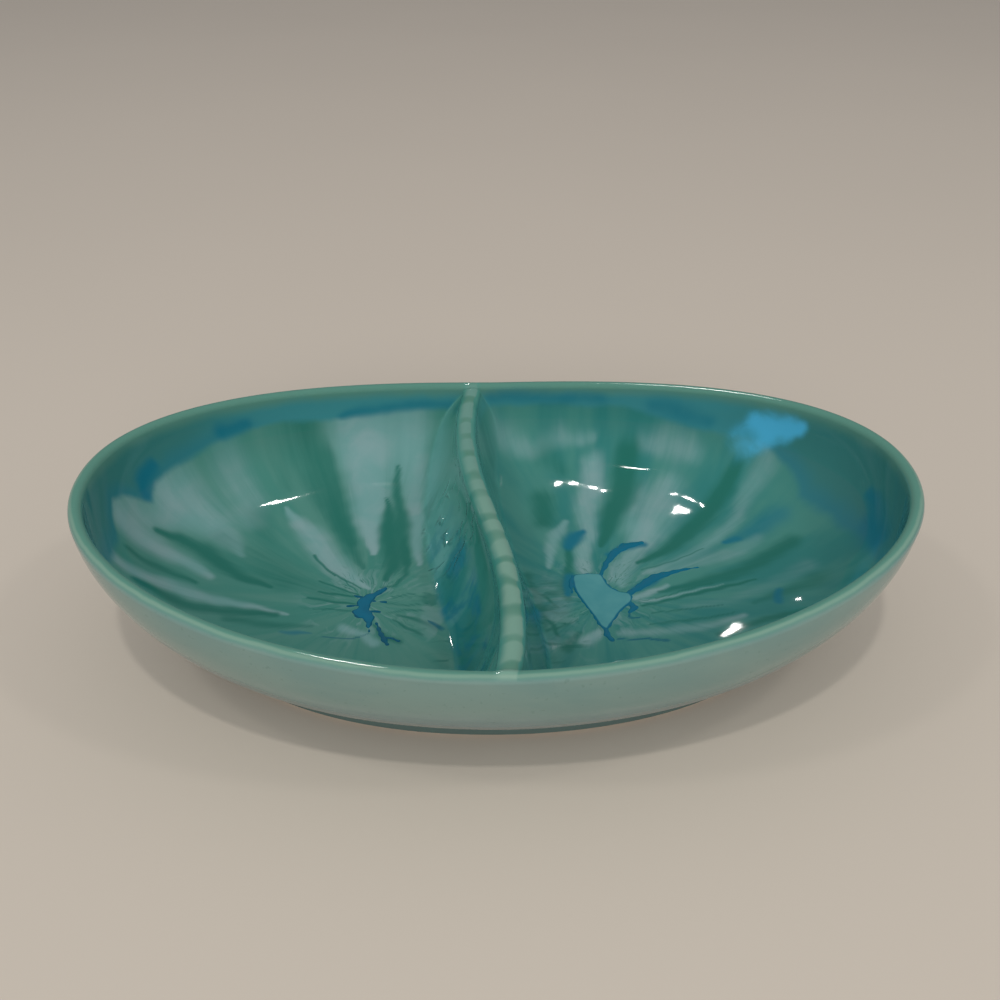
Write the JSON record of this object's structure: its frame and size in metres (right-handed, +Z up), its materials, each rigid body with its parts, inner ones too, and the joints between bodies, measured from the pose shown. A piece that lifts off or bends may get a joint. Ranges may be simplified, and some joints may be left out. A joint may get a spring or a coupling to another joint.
{
  "type": "divided serving dish",
  "caption": "Oval glazed earthenware serving dish with upswept ends, a rounded rim, a foot ring and an S-curved dividing wall between two wells.",
  "frame": {"origin": "centre of the face that the foot ring stands on", "axes": "+Z up, +X along the dish to the right as the picture shows it, +Y from the viewer to the back"},
  "size_m": [0.3074, 0.1924, 0.0647],
  "materials": {
    "clay": "bare fired earthenware, matt",
    "celadon_glaze": "even gloss glaze",
    "teal_glaze": "streaked running gloss glaze",
    "pool_glaze": "deep glassy pooled glaze"
  },
  "bodies": {
    "root": {"bowl_shell": "clay", "foot_ring": "clay", "divider_wall": "clay", "outer_glaze": "celadon_glaze", "rim_glaze": "celadon_glaze", "divider_glaze": "teal_glaze", "left_well_glaze": "teal_glaze", "right_well_glaze": "teal_glaze", "left_glaze_pool": "pool_glaze", "right_glaze_pool": "pool_glaze"}
  },
  "joints": []
}
